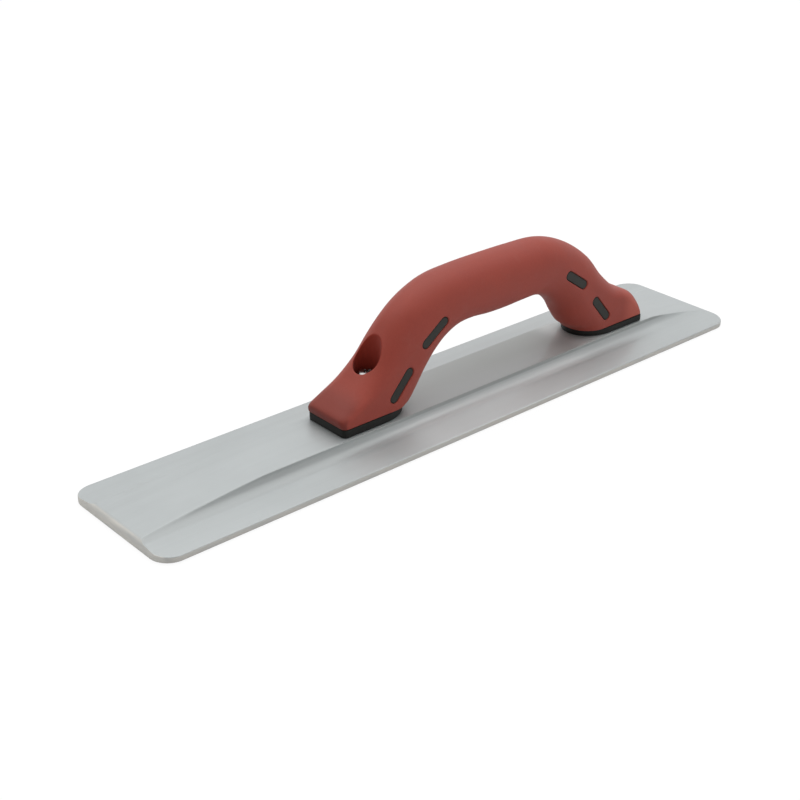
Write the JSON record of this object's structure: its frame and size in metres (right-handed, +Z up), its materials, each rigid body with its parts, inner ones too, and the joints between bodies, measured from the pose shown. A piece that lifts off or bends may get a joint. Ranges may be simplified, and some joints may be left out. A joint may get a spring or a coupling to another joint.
{
  "type": "magnesium hand float",
  "caption": "Concrete finishing hand float: a long flat magnesium blade with a central rib, and an arched grip over a rigid core screwed down at both ends.",
  "frame": {"origin": "centre of the flat working face under the blade", "axes": "+X along the blade towards the end nearer the handle, +Y across the blade, +Z up from the working face to the grip"},
  "size_m": [0.4064, 0.0794, 0.0774],
  "materials": {
    "blade_metal": "satin mill finish extruded magnesium with faint lengthwise drawing lines",
    "hard_plastic": "black moulded hard plastic, fine matt texture",
    "soft_grip": "soft-touch brick red elastomer, matt with a low sheen",
    "fastener_zinc": "bright zinc plated steel"
  },
  "bodies": {
    "root": {"blade": "blade_metal", "handle_core": "hard_plastic", "grip_overmold": "soft_grip", "front_screw": "fastener_zinc", "rear_screw": "fastener_zinc", "front_washer": "fastener_zinc", "rear_washer": "fastener_zinc"}
  },
  "joints": []
}
